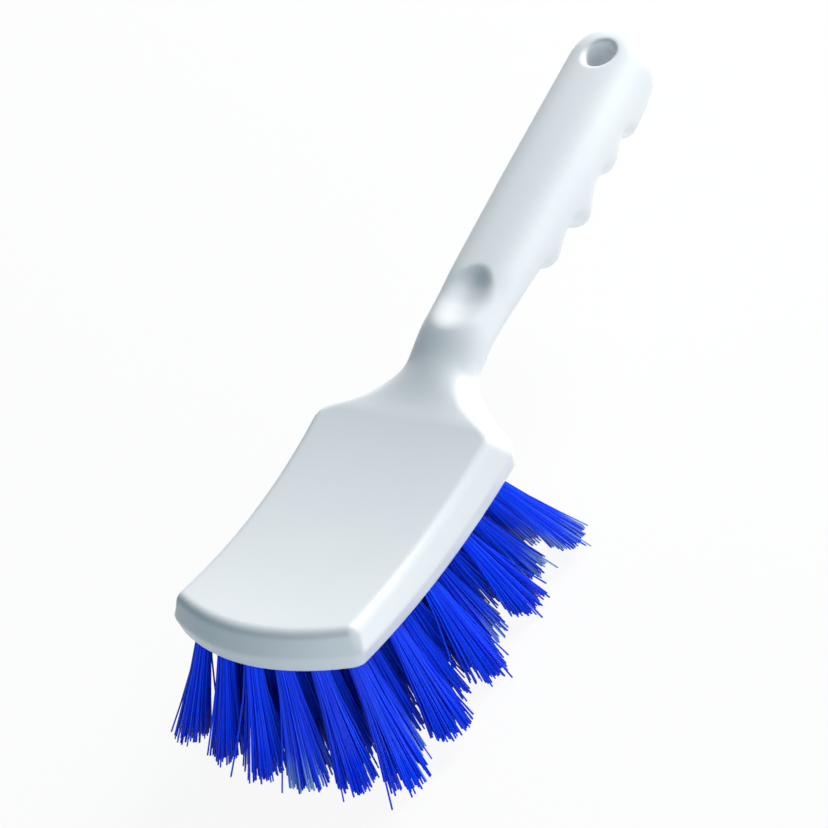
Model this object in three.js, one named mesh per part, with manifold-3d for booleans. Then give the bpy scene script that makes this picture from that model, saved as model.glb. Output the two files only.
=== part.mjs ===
// A hand-held car wash brush: one white moulding that is both the arched block and the finger-grip handle,
// with tufts of blue filament set in blind holes in the block's underside. Each tuft is folded over a flat
// steel staple that bites across its hole. Millimetres, +Z up, standing on the bristle tips at z = 0, with
// the handle towards +X and the box of the whole brush centred on the Z axis.
import * as THREE from 'three';
import { mergeVertices } from 'three/addons/utils/BufferGeometryUtils.js';
import Module from 'manifold-3d';

// Block: a slab bent along an arc, with the arc's centre above it.
const BLOCK_LENGTH = 92; // along the top, front corners to rear corners
const BLOCK_WIDTH = 70.6; // across the top edges, at the corners
const FRONT_THICKNESS = 14.4;
const REAR_THICKNESS = 18.5;
const ARCH_RADIUS = 240; // of the hollow top face
const ARCH_LOW_POINT = 31.5; // lowest point of the arch, ahead of the rear corners
const ARCH_HEIGHT = 58.5; // lowest point of the top face above the bristle tips
const FRONT_BULGE = 10.7; // how far the front edge bows out past its corners
const WAIST = 0.9; // how much each side draws in at mid-length
const TOP_FILLET = 2.8; // of the top edge at the front
const SHOULDER_FILLET = 5; // of the top edge where the shoulders run into the neck
const FILLET_START = -6; // where it starts to grow to that, behind the rear corners
const FILLET_END = 14; // and where it has
const PARTING_SHARE = 0.6; // how far down the side the mould parting line runs
const SIDE_DRAFT = 1.5; // how far the sides and the front splay out down to the parting line
const SHOULDER_FLARE = 3.8; // how much further they splay out round the shoulders
const UNDER_BEVEL = 2; // how far they come back in down to the underside
const CORNER_CHAMFER = 1.2;

// Handle: straight, rising gently from the rear of the block.
const HANDLE_SLOPE_DEG = 6.5;
const HANDLE_REACH = 174; // rear corners of the block to the handle's end
const HANDLE_RISE = 4.6; // handle top above the block's rear corners
const SHOULDER_DEG = 40.5; // how far each shoulder sweeps back from square
const SHOULDER_BLEND = 5; // softness of the corner between shoulder and neck
const NECK_LENGTH = 28.5; // behind the rear corners, from the block's section to the handle's
const UNDER_RISE = 40; // length over which the underside rises to the neck's
const RAMP_START = 4; // where the top starts to rise to the handle, behind the rear corners
const RAMP_END = 40; // and where it has risen
const CREST_AT = 39; // middle of the low crest in front of the thumb rest
const CREST_LENGTH = 34;
const CREST_HEIGHT = 1;
const NECK_WIDTH = 27.2;
const NECK_DEPTH = 14.7;
const GRIP_WIDTH = 30.8;
const GRIP_DEPTH = 19.5; // in the finger grooves
const SWELL_START = 45; // where the neck starts to grow to the grip, behind the rear corners
const GRIP_START = 114; // where it has grown to the full grip
const RIDGE_HEIGHTS = [7, 10, 7]; // of the finger ridges, from the block on
const RIDGE_SHARPNESS = 2.3; // power that narrows the crests against the grooves
const FINGER_PITCH = 21.9;
const FIRST_RIDGE = 82.7; // nearest ridge to the block, behind the rear corners
const HEEL_INSET = 30; // crest of the heel under the hang hole, from the handle's end
const HEEL_HEIGHT = 8.4;
const HEEL_FALL = 24.3; // length over which the heel falls away behind its crest
const END_ROUNDING = 16.2; // length of the rounded end
const END_PLAN_POWER = 2.15; // superellipse power of the end seen from above
const END_SIDE_POWER = 2.75; // and seen from the side
const HANDLE_SQUARENESS = 2.65; // superellipse power of the handle's section
const NECK_SQUARENESS = 2; // and of the neck's, which is a plain oval
const SQUARE_FROM = 40; // where the neck's section starts to turn into the handle's, behind the rear corners
const SQUARE_TO = 64; // and where it has
const NECK_WIDEST = 0.56; // share of the neck's depth above the height where it is widest
const HANDLE_WIDEST = 0.5; // and of the handle's
const HANG_HOLE_DIAMETER = 11;
const HANG_HOLE_FILLET = 1.7;
const HANG_HOLE_INSET = 16.7; // hole centre to the handle's end

// Thumb rest: a scoop in the top of the neck.
const THUMB_REST_AT = 53; // its deepest point, behind the rear corners
const THUMB_REST_FRONT = 12; // from there to its end towards the block
const THUMB_REST_REAR = 7; // and to its steeper end towards the handle
const THUMB_REST_WIDTH = 12;
const THUMB_REST_DEPTH = 3.2;
const THUMB_REST_BOWL = 6.5; // half-height of the ellipsoid that scoops it

// Tufts, in staggered rows that follow the bowed front edge.
const BANK_ROWS = [2, 2, 2, 3]; // rows of tufts in each bank, front to rear
const TUFTS_IN_WIDE_ROW = 6; // every other row has one tuft less, set between its neighbours
const FRONT_ROW_INSET = 7;
const REAR_ROW_INSET = 6;
const SIDE_ROW_INSET = 5.6; // outermost tufts from the edge of the underside
const FRONT_LEAN_DEG = 18; // forward lean of the front row
const REAR_LEAN_DEG = 19.5; // backward lean of the rear row
const SIDE_LEAN_DEG = 12; // outward lean of the outermost tufts, from mid-length back
const CORNER_LEAN_DEG = 19; // and at the front corners
const TUFT_LENGTH = 46; // from the underside; what would reach lower is trimmed level with the other tips
const TUFT_HOLE_DIAMETER = 5;
const TUFT_HOLE_DEPTH = 11.5; // from the underside
const STRANDS_IN_RING = 6; // round one strand in the middle
const STRAND_RADIUS = 0.55;
const TUFT_ROOT_RADIUS = 1.5; // ring of strands where the tuft leaves the block
const TUFT_TIP_RADIUS = 4.4; // the same ring at the tips
const RAGGED_TIPS = 2.6; // most that an outer strand falls short of its tuft
const BACKING_SLICE = 3; // layer of the underside that a bank of bristles carries with it
const BACKING_RIM = 2.6; // width of block left round that layer

// Staples: flat wire, one across each tuft hole, through the fold of the tuft.
const STAPLE_END_GAP = 0.2; // from each end of a staple to the wall of its hole
const STAPLE_HEIGHT = 1.8;
const STAPLE_THICKNESS = 0.5;
const STAPLE_CROWN = 1.3; // fold of filament between the staple and the end of the tuft

const CLEARANCE = 0.3; // between pieces that seat on each other
const HOLE_SIDES = 8;
const ROOT_SIDES = 6; // with flats where the staple comes out

const wasm = await Module();
wasm.setup();

const { clamp, degToRad, lerp, seededRandom, smoothstep } = THREE.MathUtils;
const handleSlope = degToRad(HANDLE_SLOPE_DEG);
const rearAngle = ARCH_LOW_POINT / ARCH_RADIUS;
const arcCentreZ = ARCH_HEIGHT + ARCH_RADIUS;
const frontS = -BLOCK_LENGTH;
const holeAt = HANDLE_REACH - HANG_HOLE_INSET;
const endFrom = HANDLE_REACH - END_ROUNDING;
const heelAt = HANDLE_REACH - HEEL_INSET;
const tuftRows = BANK_ROWS.reduce((sum, rows) => sum + rows, 0);
const rootDepth = BACKING_SLICE / 2; // where a tuft's strands meet its root, inside the backing

// Solids

// A closed three.js geometry as a manifold solid.
function solidOf(geometry) {
  const bare = geometry.clone();
  bare.deleteAttribute('normal');
  bare.deleteAttribute('uv');
  const merged = mergeVertices(bare);
  return new wasm.Manifold(new wasm.Mesh({
    numProp: 3,
    vertProperties: new Float32Array(merged.attributes.position.array),
    triVerts: new Uint32Array(merged.index.array),
  }));
}

// A manifold solid as a three.js geometry.
function geometryOf(solid) {
  const mesh = solid.getMesh();
  const geometry = new THREE.BufferGeometry();
  geometry.setAttribute('position', new THREE.BufferAttribute(mesh.vertProperties, 3));
  geometry.setIndex(new THREE.BufferAttribute(mesh.triVerts, 1));
  geometry.computeVertexNormals();
  return geometry;
}

// A closed skin through rings of points, front to rear. Each ring runs from the middle of its top down its
// right half to the middle of its bottom and back up its left half. The two end rings are filled in.
function loft(rings) {
  const count = rings[0].length;
  const half = count / 2;
  const last = (rings.length - 1) * count;
  const index = [];
  for (let i = 0; i < last; i += count) {
    for (let j = 0; j < count; j++) {
      const a = i + j;
      const b = i + ((j + 1) % count);
      index.push(a, b, a + count, b, b + count, a + count);
    }
  }
  for (let k = 0; 2 * k < half - 1; k++) {
    const right = [k, k + 1, half - k - 1, half - k];
    const left = right.map((j) => (count - j) % count).reverse();
    for (const [a, b, c, d] of [right, left]) {
      index.push(a, c, b, a, d, c);
      index.push(last + a, last + b, last + c, last + a, last + c, last + d);
    }
  }
  const geometry = new THREE.BufferGeometry();
  const positions = rings.flat().flatMap((p) => [p.x, p.y, p.z]);
  geometry.setAttribute('position', new THREE.Float32BufferAttribute(positions, 3));
  geometry.setIndex(index);
  return geometry;
}

// A full ring from its right half, given as points across and up from the middle of the top.
function ringFrom(halfSection, place) {
  const right = halfSection.map(([y, h]) => place(-y, h));
  const left = halfSection.slice(1, -1).reverse().map(([y, h]) => place(y, h));
  return [...right, ...left];
}

// The brush's own coordinates: s runs along the block's arched top and on down the handle, with 0 at the
// rear corners, y runs across, and h stands square to the run, with 0 on the block's top.

function tiltAt(s) {
  if (s <= 0) return rearAngle + s / ARCH_RADIUS;
  return lerp(rearAngle, handleSlope, smoothstep(s, 0, NECK_LENGTH));
}

function pointAt(s, y, h) {
  const arc = Math.min(s, 0) / ARCH_RADIUS + rearAngle;
  const along = Math.max(s, 0);
  const tilt = tiltAt(s);
  const x = ARCH_RADIUS * Math.sin(arc) + along * Math.cos(handleSlope) - h * Math.sin(tilt);
  const z = arcCentreZ - ARCH_RADIUS * Math.cos(arc) + along * Math.sin(handleSlope) + h * Math.cos(tilt);
  return new THREE.Vector3(x, y, z);
}

// Half-width of the block's top edge, drawn in at mid-length.
function blockHalfWidth(s) {
  const fromMiddle = (2 * s) / BLOCK_LENGTH + 1;
  return BLOCK_WIDTH / 2 - WAIST * Math.max(0, 1 - fromMiddle * fromMiddle);
}

// Thickness of the block, which thins towards the front.
function thicknessAt(s) {
  return lerp(REAR_THICKNESS, FRONT_THICKNESS, Math.min(1, -s / BLOCK_LENGTH));
}

// How far the walls splay out down to the parting line: the shoulders further, as far as the block's sides.
function splayAt(s) {
  const flare = s > 0 ? Math.min(SHOULDER_FLARE, BLOCK_WIDTH / 2 - bodySpan(s).half) : 0;
  return SIDE_DRAFT + flare;
}

// Half-width of the underside, inside the bevel.
function undersideHalfWidth(s) {
  return blockHalfWidth(s) + splayAt(s) - UNDER_BEVEL;
}

// A line across the block at s bows forward by this much at y, fully at the front and not at all at the rear.
function bowAt(s, y) {
  const across = y / blockHalfWidth(s);
  return FRONT_BULGE * Math.min(1, Math.max(0, -s / BLOCK_LENGTH)) * Math.max(0, 1 - across * across);
}

// Moulded body

// Larger of two values, with the corner between them rounded.
function softMax(a, b, softness) {
  const gap = Math.abs(a - b);
  const lift = gap < softness ? ((softness - gap) * (softness - gap)) / (4 * softness) : 0;
  return Math.max(a, b) + lift;
}

// Share of a bump that stands this far from its middle, from 1 there to 0 at its reach.
function bump(away, reach, power) {
  return Math.cos((Math.min(1, away / reach) * Math.PI) / 2) ** power;
}

// The finger ridges, and last the heel, which falls away slowly towards the handle's end.
function ridges() {
  const places = RIDGE_HEIGHTS.map((height, i) => ({ at: FIRST_RIDGE + i * FINGER_PITCH, height }));
  return [...places, { at: heelAt, height: HEEL_HEIGHT }];
}

// How far down a ridge reaches at s, from 0 in a groove.
function ridgeAt(s) {
  const reaches = ridges().map(({ at, height }) => {
    const falling = at === heelAt && s > heelAt;
    const away = Math.abs(s - at);
    return height * (falling ? bump(away, HEEL_FALL, 1) : bump(away, FINGER_PITCH / 2, RIDGE_SHARPNESS));
  });
  return Math.max(...reaches);
}

// Height of the top behind the block: a ramp up to the handle, with a low crest in front of the thumb rest.
function topAt(s) {
  const crest = CREST_HEIGHT * bump(Math.abs(s - CREST_AT), CREST_LENGTH / 2, 2);
  return HANDLE_RISE * smoothstep(s, RAMP_START, RAMP_END) + crest;
}

// Half-width, top and bottom of the body at s, and the height where it is widest, level under the ridges.
function bodySpan(s) {
  if (s <= 0) {
    const bottom = -thicknessAt(s);
    return { half: blockHalfWidth(s), top: 0, bottom, middle: bottom / 2 };
  }
  const grip = smoothstep(s, SWELL_START, GRIP_START);
  const ridge = ridgeAt(s);
  const handleHalf = lerp(NECK_WIDTH, GRIP_WIDTH, grip) / 2;
  const shoulder = BLOCK_WIDTH / 2 - s / Math.tan(degToRad(SHOULDER_DEG));
  const top = topAt(s);
  const depth = lerp(NECK_DEPTH, GRIP_DEPTH, grip) + ridge;
  const bottom = lerp(-REAR_THICKNESS, HANDLE_RISE - depth, smoothstep(s, 0, UNDER_RISE));
  const span = { half: softMax(shoulder, handleHalf, SHOULDER_BLEND), top, bottom };
  const widest = lerp(NECK_WIDEST, HANDLE_WIDEST, smoothstep(s, SQUARE_FROM, SQUARE_TO));
  const middle = lerp(top, bottom + ridge, widest);
  const end = Math.max(0, (s - endFrom) / END_ROUNDING);
  const taper = (1 - end ** END_PLAN_POWER) ** (1 / END_PLAN_POWER);
  const slim = (1 - end ** END_SIDE_POWER) ** (1 / END_SIDE_POWER);
  return {
    half: span.half * taper,
    top: lerp(middle, span.top, slim),
    bottom: lerp(middle, span.bottom, slim),
    middle,
  };
}

// Right half of the block's section, from the middle of the top to the middle of the underside.
function blockSection(s, { half, top, bottom }) {
  const parting = lerp(top, bottom, PARTING_SHARE);
  const fillet = lerp(TOP_FILLET, SHOULDER_FILLET, smoothstep(s, FILLET_START, FILLET_END));
  const flat = half - fillet;
  const points = [[0, top], [flat * 0.55, top]];
  for (let i = 0; i <= 3; i++) {
    const turn = (i * Math.PI) / 6;
    points.push([flat + fillet * Math.sin(turn), top - fillet * (1 - Math.cos(turn))]);
  }
  const wall = half + splayAt(s);
  const under = wall - UNDER_BEVEL;
  points.push([wall, parting], [under, bottom], [under * 0.55, bottom], [0, bottom]);
  return points;
}

// Right half of the handle's section, with as many points as the block's and a narrow flat along its top.
function handleSection(s, { half, top, bottom, middle }) {
  const points = [];
  const steps = 9;
  const power = 2 / lerp(NECK_SQUARENESS, HANDLE_SQUARENESS, smoothstep(s, SQUARE_FROM, SQUARE_TO));
  for (let i = 0; i <= steps; i++) {
    const turn = Math.PI / 2 - (i * Math.PI) / steps;
    const y = i === 0 || i === steps ? 0 : half * Math.cos(turn) ** power;
    const rise = Math.sign(Math.sin(turn)) * Math.abs(Math.sin(turn)) ** power;
    const reach = rise > 0 ? top - middle : middle - bottom;
    points.push([y, i === 1 ? top : middle + reach * rise]);
  }
  return points;
}

function bodyRing(s) {
  const span = bodySpan(s);
  const share = smoothstep(s, 0, NECK_LENGTH);
  const block = blockSection(s, span);
  const handle = handleSection(s, span);
  const half = block.map(([y, h], i) => [lerp(y, handle[i][0], share), lerp(h, handle[i][1], share)]);
  return ringFrom(half, (y, h) => pointAt(s - bowAt(s, y), y, h));
}

// How far the front wall stands ahead of its top edge at that height.
function frontSplay(h) {
  const fall = (-h - TOP_FILLET) / (PARTING_SHARE * FRONT_THICKNESS - TOP_FILLET);
  return SIDE_DRAFT * clamp(fall, 0, 1);
}

// Rings that round the front edge, with the fillet above and the bevel below.
function frontRings() {
  const turns = [0, 30, 60, 90].map(degToRad);
  return turns.map((turn) => {
    const inset = TOP_FILLET * (1 - Math.cos(turn));
    const s = frontS + inset;
    const fillet = TOP_FILLET * (1 - Math.sin(turn));
    const bevel = Math.max(0, 1 - inset / UNDER_BEVEL) * (1 - PARTING_SHARE) * FRONT_THICKNESS;
    const narrow = CORNER_CHAMFER * (fillet / TOP_FILLET);
    const half = blockSection(s, bodySpan(s)).map(([y, h]) => [
      Math.max(0, y - (y > 0 ? narrow : 0)),
      Math.min(-fillet, Math.max(h, bevel - FRONT_THICKNESS)),
    ]);
    return ringFrom(half, (y, h) => pointAt(s - frontSplay(h) - bowAt(s, y), y, h));
  });
}

// Stations along the block behind its front edge, and along the handle with more where it turns quickly.
function bodyStations() {
  const stations = [];
  const blockSteps = 7;
  const blockFront = frontS + 2 * TOP_FILLET;
  for (let i = 0; i <= blockSteps; i++) stations.push(lerp(blockFront, 0, i / blockSteps));
  const shoulderSteps = 8;
  for (let i = 1; i <= shoulderSteps; i++) stations.push((NECK_LENGTH * i) / shoulderSteps);
  const gripFrom = FIRST_RIDGE - FINGER_PITCH / 2;
  const neckSteps = 10;
  for (let i = 1; i <= neckSteps; i++) stations.push(lerp(NECK_LENGTH, gripFrom, i / neckSteps));
  const step = FINGER_PITCH / 5;
  const gripSteps = Math.max(1, Math.round((endFrom - gripFrom) / step));
  for (let i = 1; i <= gripSteps; i++) stations.push(lerp(gripFrom, endFrom, i / gripSteps));
  for (const share of [0.25, 0.5, 0.7, 0.84, 0.93, 0.985]) stations.push(endFrom + END_ROUNDING * share);
  return stations;
}

// Hang hole: a round hole square to the handle, flared by its fillet at both faces.
function hangHoleCutter() {
  const { top, bottom } = bodySpan(holeAt);
  const radius = HANG_HOLE_DIAMETER / 2;
  const rim = radius + HANG_HOLE_FILLET;
  const past = HANG_HOLE_FILLET * 2;
  const profile = [new THREE.Vector2(0, bottom - past), new THREE.Vector2(rim, bottom - past)];
  const flare = [0, 45, 90].map(degToRad);
  for (const turn of flare) {
    const lift = HANG_HOLE_FILLET * Math.sin(turn);
    profile.push(new THREE.Vector2(rim - HANG_HOLE_FILLET * (1 - Math.cos(turn)), bottom + lift));
  }
  for (const turn of flare.reverse()) {
    const drop = HANG_HOLE_FILLET * Math.sin(turn);
    profile.push(new THREE.Vector2(rim - HANG_HOLE_FILLET * (1 - Math.cos(turn)), top - drop));
  }
  profile.push(new THREE.Vector2(rim, top + past), new THREE.Vector2(0, top + past));
  const cutter = new THREE.LatheGeometry(profile, 20);
  cutter.rotateX(Math.PI / 2);
  cutter.rotateY(-handleSlope);
  return cutter.translate(...pointAt(holeAt, 0, 0));
}

// Thumb rest: an ellipsoid sunk into the handle's top by the depth of the scoop, longer towards the block.
function thumbRestCutter() {
  const sunk = THUMB_REST_BOWL - THUMB_REST_DEPTH;
  const spread = 1 / Math.sqrt(1 - (sunk / THUMB_REST_BOWL) ** 2);
  const cutter = new THREE.SphereGeometry(1, 18, 10);
  const places = cutter.attributes.position;
  for (let i = 0; i < places.count; i++) {
    const x = places.getX(i);
    places.setX(i, x * (x < 0 ? THUMB_REST_FRONT : THUMB_REST_REAR));
  }
  cutter.scale(spread, (THUMB_REST_WIDTH / 2) * spread, THUMB_REST_BOWL);
  cutter.rotateY(-handleSlope);
  return cutter.translate(...pointAt(THUMB_REST_AT, 0, bodySpan(THUMB_REST_AT).top + sunk));
}

// Backing: the layer of the underside that the bristle banks are fused to

function rowS(row) {
  return lerp(frontS + FRONT_ROW_INSET, -REAR_ROW_INSET, row / (tuftRows - 1));
}

// Lines across the block between one bank's backing and the next, with the front and rear edges of them all.
function bankEdges() {
  const edges = [frontS + BACKING_RIM + UNDER_BEVEL];
  let row = 0;
  for (const rows of BANK_ROWS.slice(0, -1)) {
    row += rows;
    edges.push((rowS(row - 1) + rowS(row)) / 2);
  }
  return [...edges, -BACKING_RIM];
}

// A layer of the underside through the given lines across the block, from `above` it down to `below` it.
function backingLayer(lines, above, below, sideGap) {
  const columns = 3;
  return loft(lines.map((s) => {
    const reach = undersideHalfWidth(s) - BACKING_RIM - sideGap;
    const across = [];
    for (let j = 0; j <= columns; j++) across.push((reach * j) / columns);
    const section = [...across.map((y) => [y, above]), ...across.reverse().map((y) => [y, -below])];
    return ringFrom(section, (y, h) => pointAt(s - bowAt(s, y), y, h - thicknessAt(s)));
  }));
}

// Tufts

// Every tuft: its place in its row, its root on the underside, and the axis that it leaves along.
function layOutTufts() {
  const tufts = [];
  for (let row = 0; row < tuftRows; row++) {
    const share = row / (tuftRows - 1);
    const s = rowS(row);
    const outer = undersideHalfWidth(s) - SIDE_ROW_INSET;
    const pitch = (2 * outer) / (TUFTS_IN_WIDE_ROW - 1);
    const columns = TUFTS_IN_WIDE_ROW - (row % 2);
    for (let column = 0; column < columns; column++) {
      const y = (column - (columns - 1) / 2) * pitch;
      const root = pointAt(s - bowAt(s, y), y, -thicknessAt(s));
      const swing = Math.tan(degToRad(lerp(-FRONT_LEAN_DEG, REAR_LEAN_DEG, share)));
      const sideLean = lerp(CORNER_LEAN_DEG, SIDE_LEAN_DEG, Math.min(1, 2 * share));
      const lean = Math.tan(degToRad(sideLean)) * (y / outer);
      const axis = new THREE.Vector3(swing, lean, -1).normalize();
      tufts.push({ row, column, columns, s, y, root, axis });
    }
  }
  return tufts;
}

// Point on a tuft's axis, this far up its hole from the underside.
function upTheHole(tuft, distance) {
  return tuft.root.clone().addScaledVector(tuft.axis, -distance);
}

// Turns geometry made along +Y so that it runs up the tuft's hole, then moves it to that depth.
function setInHole(geometry, tuft, distance) {
  const up = tuft.axis.clone().negate();
  geometry.applyQuaternion(new THREE.Quaternion().setFromUnitVectors(new THREE.Vector3(0, 1, 0), up));
  return geometry.translate(...upTheHole(tuft, distance));
}

function tuftHole(tuft) {
  const radius = TUFT_HOLE_DIAMETER / 2;
  const cutter = new THREE.CylinderGeometry(radius, radius, TUFT_HOLE_DEPTH - rootDepth, HOLE_SIDES);
  return setInHole(cutter, tuft, (TUFT_HOLE_DEPTH + rootDepth) / 2);
}

const stapleLength = TUFT_HOLE_DIAMETER - 2 * STAPLE_END_GAP;
const stapleDepth = TUFT_HOLE_DEPTH - 2 * CLEARANCE - STAPLE_CROWN - STAPLE_HEIGHT / 2; // of its middle

// A staple across its hole, or with room all round it the slot that it lies in.
function stapleBox(tuft, room) {
  const sides = [stapleLength, STAPLE_HEIGHT, STAPLE_THICKNESS].map((side) => side + 2 * room);
  return setInHole(new THREE.BoxGeometry(...sides), tuft, stapleDepth);
}

// The folded root of a tuft: a plug that fills its hole, with a slot where the staple crosses the fold.
function tuftRoot(tuft) {
  const radius = TUFT_HOLE_DIAMETER / 2 - CLEARANCE;
  const end = TUFT_HOLE_DEPTH - CLEARANCE;
  const plug = new THREE.CylinderGeometry(radius, radius, end - rootDepth, ROOT_SIDES);
  setInHole(plug, tuft, (end + rootDepth) / 2);
  return solidOf(plug).subtract(solidOf(stapleBox(tuft, CLEARANCE)));
}

// A repeatable number from 0 to 1 for strand k of a tuft, the same on both sides of the brush.
function scatter(tuft, k) {
  const place = tuft.row * TUFTS_IN_WIDE_ROW + Math.min(tuft.column, tuft.columns - 1 - tuft.column);
  return seededRandom(place * (STRANDS_IN_RING + 1) + k);
}

// One strand, three-sided, from inside the backing down to a flat tip.
function strand(root, tip) {
  const corners = [0, 1, 2].map((i) => (i * 2 * Math.PI) / 3);
  const ringAt = (centre) => corners.map((turn) => new THREE.Vector3(
    centre.x + STRAND_RADIUS * Math.cos(turn), centre.y + STRAND_RADIUS * Math.sin(turn), centre.z));
  const positions = [...ringAt(root), ...ringAt(tip)].flatMap((p) => [p.x, p.y, p.z]);
  const geometry = new THREE.BufferGeometry();
  geometry.setAttribute('position', new THREE.Float32BufferAttribute(positions, 3));
  geometry.setIndex([0, 1, 2, 3, 5, 4, 0, 3, 1, 1, 3, 4, 1, 4, 2, 2, 4, 5, 2, 5, 0, 0, 5, 3]);
  return geometry;
}

// The strands of a tuft: one down its axis and a ring that spreads from the root to the tips.
function tuftStrands(tuft) {
  const { axis } = tuft;
  const start = upTheHole(tuft, rootDepth);
  const reach = Math.min(start.z / -axis.z, TUFT_LENGTH + rootDepth);
  const strands = [];
  for (let k = 0; k <= STRANDS_IN_RING; k++) {
    const side = tuft.y < 0 ? -1 : 1;
    const turn = ((k + 0.5 * (tuft.row % 2)) / STRANDS_IN_RING) * 2 * Math.PI;
    const ring = k === STRANDS_IN_RING ? 0 : 1;
    const out = new THREE.Vector3(Math.cos(turn), side * Math.sin(turn), 0).multiplyScalar(ring);
    const run = reach - ring * RAGGED_TIPS * scatter(tuft, k);
    const spread = lerp(TUFT_ROOT_RADIUS, TUFT_TIP_RADIUS, run / reach);
    const tip = start.clone().addScaledVector(axis, run).addScaledVector(out, spread);
    strands.push(strand(start.clone().addScaledVector(out, TUFT_ROOT_RADIUS), tip));
  }
  return strands;
}

// Banks of bristles: some rows of tufts fused to their own slice of the backing.
function bristleBanks(tufts) {
  const names = ['front', 'mid_front', 'mid_rear', 'rear'];
  const edges = bankEdges();
  return BANK_ROWS.map((rows, bank) => {
    const lines = [edges[bank] + CLEARANCE, edges[bank + 1] - CLEARANCE];
    const slab = backingLayer(lines, BACKING_SLICE - CLEARANCE, 0, CLEARANCE);
    const members = tufts.filter((tuft) => tuft.s > edges[bank] && tuft.s < edges[bank + 1]);
    const pieces = members.flatMap((tuft) => [tuftRoot(tuft), ...tuftStrands(tuft).map(solidOf)]);
    return { name: `bristles_${names[bank]}`, solid: wasm.Manifold.union([solidOf(slab), ...pieces]) };
  });
}

// Assembly

function mouldedBody(tufts) {
  const rings = [...frontRings(), ...bodyStations().map(bodyRing)];
  const pocket = backingLayer(bankEdges(), BACKING_SLICE, BACKING_SLICE, 0);
  const cuts = [hangHoleCutter(), thumbRestCutter(), pocket, ...tufts.map(tuftHole)];
  return solidOf(loft(rings)).subtract(wasm.Manifold.union(cuts.map(solidOf)));
}

const white = new THREE.MeshStandardMaterial({ color: 0xe6ebef, roughness: 0.38, metalness: 0 });
const blue = new THREE.MeshStandardMaterial({ color: 0x0a24d8, roughness: 0.35, metalness: 0 });
const steel = new THREE.MeshStandardMaterial({ color: 0xb4b8bc, roughness: 0.35, metalness: 1 });

function named(name, geometry, material) {
  const mesh = new THREE.Mesh(geometry, material);
  mesh.name = name;
  return mesh;
}

const brush = new THREE.Group();
const tufts = layOutTufts();
brush.add(named('brush_body', geometryOf(mouldedBody(tufts)), white));
for (const { name, solid } of bristleBanks(tufts)) brush.add(named(name, geometryOf(solid), blue));
for (const tuft of tufts) {
  brush.add(named(`staple_r${tuft.row + 1}_c${tuft.column + 1}`, stapleBox(tuft, 0), steel));
}

// Centre the whole brush on the Z axis, lengthways.
const box = new THREE.Box3().setFromObject(brush);
brush.position.x = -(box.min.x + box.max.x) / 2;

export default brush;
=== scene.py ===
"""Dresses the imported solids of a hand-held car wash brush and sets it in a plain studio.

The white moulding and the blue tufts are made here as fine meshes that stand for their solids, in the same
frame, and the staples keep their solids. Sizes are in millimetres, and become metres where a mesh is made.
"""

import logging
import math
from dataclasses import dataclass, field
from enum import Enum

import bpy
import numpy as np
from mathutils import Matrix, Vector


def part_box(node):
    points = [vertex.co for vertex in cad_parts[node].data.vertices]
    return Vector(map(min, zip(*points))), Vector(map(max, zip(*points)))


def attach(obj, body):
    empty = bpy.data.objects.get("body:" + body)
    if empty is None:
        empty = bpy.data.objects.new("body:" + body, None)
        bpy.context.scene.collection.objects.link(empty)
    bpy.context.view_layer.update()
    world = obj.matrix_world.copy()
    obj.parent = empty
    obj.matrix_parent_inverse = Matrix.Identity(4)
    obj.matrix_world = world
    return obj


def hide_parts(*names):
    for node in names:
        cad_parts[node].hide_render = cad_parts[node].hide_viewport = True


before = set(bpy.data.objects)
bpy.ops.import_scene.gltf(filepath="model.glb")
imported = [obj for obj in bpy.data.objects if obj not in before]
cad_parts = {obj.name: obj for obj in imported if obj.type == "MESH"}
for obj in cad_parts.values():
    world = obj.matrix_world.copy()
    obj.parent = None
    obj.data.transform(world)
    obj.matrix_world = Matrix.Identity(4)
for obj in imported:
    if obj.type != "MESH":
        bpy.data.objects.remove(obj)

Array = np.ndarray
Socket = bpy.types.NodeSocket
Triple = tuple[float, float, float]

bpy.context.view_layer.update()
BODY = "root"
MM = 0.001
IMAGE_SIDE = 828
TINY = 1e-6
WHITE = (1.0, 1.0, 1.0)
NOISE_ROUGHNESS = 0.55

log = logging.getLogger("wash_brush")


class Slot(Enum):
    """Material slots of the part's record; the pieces made here are not given them."""

    PLASTIC = "white_plastic"
    FILAMENT = "blue_filament"


class Bank(Enum):
    """Banks of tufts, front to rear: the solid that each stands for, with its first and last row."""

    FRONT = ("bristles_front", 0, 1)
    MID_FRONT = ("bristles_mid_front", 2, 3)
    MID_REAR = ("bristles_mid_rear", 4, 5)
    REAR = ("bristles_rear", 6, 8)

    @property
    def node(self) -> str:
        """Name of the solid that this bank stands for."""
        return self.value[0]

    def holds(self, row: int) -> bool:
        """Says whether a row of tufts belongs to this bank."""
        return self.value[1] <= row <= self.value[2]


# Sums on arrays


def smoothstep(x: Array, low: float, high: float) -> Array:
    """Eases from 0 at low to 1 at high."""
    t = np.clip((x - low) / (high - low), 0.0, 1.0)
    return t * t * (3.0 - 2.0 * t)


def mix(a: Array | float, b: Array | float, share: Array | float) -> Array | float:
    """Goes from a to b as share goes from 0 to 1."""
    return a + (b - a) * share


def round_max(a: Array, b: Array, radius: Array | float) -> Array:
    """Cuts one distance field by another, with the edge between them rounded.

    Args:
        a: Distances to the first surface, negative inside.
        b: Distances to the second surface.
        radius: Radius of the rounded edge.

    Returns:
        Distances to what lies inside both.
    """
    over = np.hypot(np.maximum(a + radius, 0.0), np.maximum(b + radius, 0.0))
    return np.minimum(-radius, np.maximum(a, b)) + over


def round_min(a: Array, b: Array, radius: float) -> Array:
    """Joins two distance fields, with a fillet of that radius in the corner between them."""
    return -round_max(-a, -b, radius)


def bump(away: Array, reach: float, power: float) -> Array:
    """Gives the share of a bump that stands this far from its middle, from 1 there to 0 at its reach."""
    return np.maximum(0.0, np.cos(np.minimum(1.0, away / reach) * math.pi / 2.0)) ** power


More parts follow.
